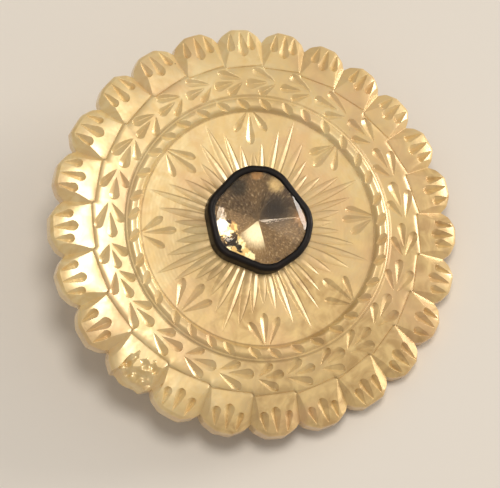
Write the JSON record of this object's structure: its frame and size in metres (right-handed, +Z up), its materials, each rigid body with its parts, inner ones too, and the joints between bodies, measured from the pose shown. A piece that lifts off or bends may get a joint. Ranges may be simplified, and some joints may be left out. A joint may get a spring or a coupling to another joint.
{
  "type": "carved pearl button with set stone",
  "caption": "Large carved mother-of-pearl button: lobed rim, leaf band, rope ring and star of rays round a foil-backed paste stone in a dark closed setting; wire eye behind for sewing on.",
  "frame": {"origin": "middle of the bottom of the box that holds the button as it lies", "axes": "+Z up from the surface that the button lies on; the disc leans, with its low side towards -Y"},
  "size_m": [0.0349, 0.0339, 0.0113],
  "materials": {
    "mother_of_pearl": "polished, lustrous, creamy gold",
    "blackened_metal": "blackened, worn glossy",
    "foil": "bright, tarnished in places",
    "paste_glass": "polished, worn",
    "aged_brass": "aged, dull"
  },
  "bodies": {
    "root": {"pearl_disc": "mother_of_pearl", "stone_collet": "blackened_metal", "foil_backing": "foil", "paste_stone": "paste_glass", "shank_post": "aged_brass", "back_plate": "aged_brass", "shank_loop": "aged_brass"}
  },
  "joints": []
}
